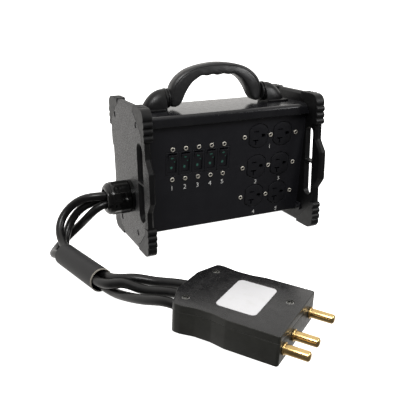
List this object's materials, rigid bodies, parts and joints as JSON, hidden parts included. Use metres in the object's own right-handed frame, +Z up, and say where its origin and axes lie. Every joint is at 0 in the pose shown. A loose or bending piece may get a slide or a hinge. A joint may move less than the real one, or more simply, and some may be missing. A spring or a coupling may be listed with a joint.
{
  "type": "portable power distribution box",
  "caption": "Carry-handled metal power box with tilted socket and rocker breaker panel, guarded end plates and a cabled flat stage plug.",
  "frame": {"origin": "on the floor plane under the middle of the box, grips and corner guards included, cables and plug left out", "axes": "+X to the right seen from the front, +Y from the front panel to the back, +Z up"},
  "size_m": [0.3852, 0.4499, 0.2433],
  "materials": {
    "black_plastic": "satin moulded black",
    "pebbled_black": "pebble textured black",
    "guard_rubber": "satin black",
    "panel_paint": "satin black powder coat",
    "cover_paint": "gloss black paint",
    "device_black": "satin black",
    "gloss_black": "gloss black",
    "seal_rubber": "matt black",
    "cable_jacket": "satin black jacket",
    "sleeve_grey": "matt dark grey",
    "plug_plastic": "matt dark grey, moulded",
    "label_film": "blank pale label",
    "brass": "turned brass",
    "copper": "copper bar",
    "steel": "bright zinc",
    "insulator_red": "red moulded insulator"
  },
  "bodies": {
    "box": {"left_end_plate": "pebbled_black", "right_end_plate": "pebbled_black", "left_front_lower_guard": "guard_rubber", "left_front_upper_guard": "guard_rubber", "left_rear_lower_guard": "guard_rubber", "left_rear_upper_guard": "guard_rubber", "right_front_lower_guard": "guard_rubber", "right_front_upper_guard": "guard_rubber", "right_rear_lower_guard": "guard_rubber", "right_rear_upper_guard": "guard_rubber", "left_inner_wall": "panel_paint", "right_inner_wall": "panel_paint", "chassis_pan": "panel_paint", "top_cover": "cover_paint", "duplex_receptacle_1": "device_black", "duplex_receptacle_2": "device_black", "duplex_receptacle_3": "device_black", "breaker_1": "device_black", "breaker_2": "device_black", "breaker_3": "device_black", "breaker_4": "device_black", "breaker_5": "device_black", "line_bus_bar": "copper", "neutral_bar": "brass", "neutral_insulator": "insulator_red", "ground_bar": "brass", "left_handle_pod": "black_plastic", "right_handle_pod": "black_plastic", "left_hinge_pin": "steel", "right_hinge_pin": "steel", "gland_body": "gloss_black", "gland_nut": "gloss_black", "gland_locknut": "gloss_black", "gland_seal": "seal_rubber", "cable_a": "cable_jacket", "cable_b": "cable_jacket", "cable_c": "cable_jacket", "cable_sleeve": "sleeve_grey", "plug_base": "plug_plastic", "plug_cover": "plug_plastic", "plug_label": "label_film", "plug_screw_1": "steel", "plug_screw_2": "steel", "plug_screw_3": "steel", "plug_pin_ground": "brass", "plug_pin_neutral": "brass", "plug_pin_hot": "brass"},
    "handle": {"handle_grip": "black_plastic"},
    "rocker_1": {"breaker_rocker_1": "device_black"},
    "rocker_2": {"breaker_rocker_2": "device_black"},
    "rocker_3": {"breaker_rocker_3": "device_black"},
    "rocker_4": {"breaker_rocker_4": "device_black"},
    "rocker_5": {"breaker_rocker_5": "device_black"}
  },
  "joints": [
    {"name": "handle_swing", "type": "hinge", "parent": "box", "child": "handle", "pos_m": [0, 0.0044, 0.1983], "axis": [1, 0, 0], "range_deg": [-90, 90]},
    {"name": "rocker_tilt_1", "type": "hinge", "parent": "box", "child": "rocker_1", "pos_m": [-0.0833, -0.0298, 0.11821], "axis": [-1, 0, 0], "range_deg": [0, 16]},
    {"name": "rocker_tilt_2", "type": "hinge", "parent": "box", "child": "rocker_2", "pos_m": [-0.06425, -0.0298, 0.11821], "axis": [-1, 0, 0], "range_deg": [0, 16]},
    {"name": "rocker_tilt_3", "type": "hinge", "parent": "box", "child": "rocker_3", "pos_m": [-0.0452, -0.0298, 0.11821], "axis": [-1, 0, 0], "range_deg": [0, 16]},
    {"name": "rocker_tilt_4", "type": "hinge", "parent": "box", "child": "rocker_4", "pos_m": [-0.02615, -0.0298, 0.11821], "axis": [-1, 0, 0], "range_deg": [0, 16]},
    {"name": "rocker_tilt_5", "type": "hinge", "parent": "box", "child": "rocker_5", "pos_m": [-0.0071, -0.0298, 0.11821], "axis": [-1, 0, 0], "range_deg": [0, 16]}
  ]
}
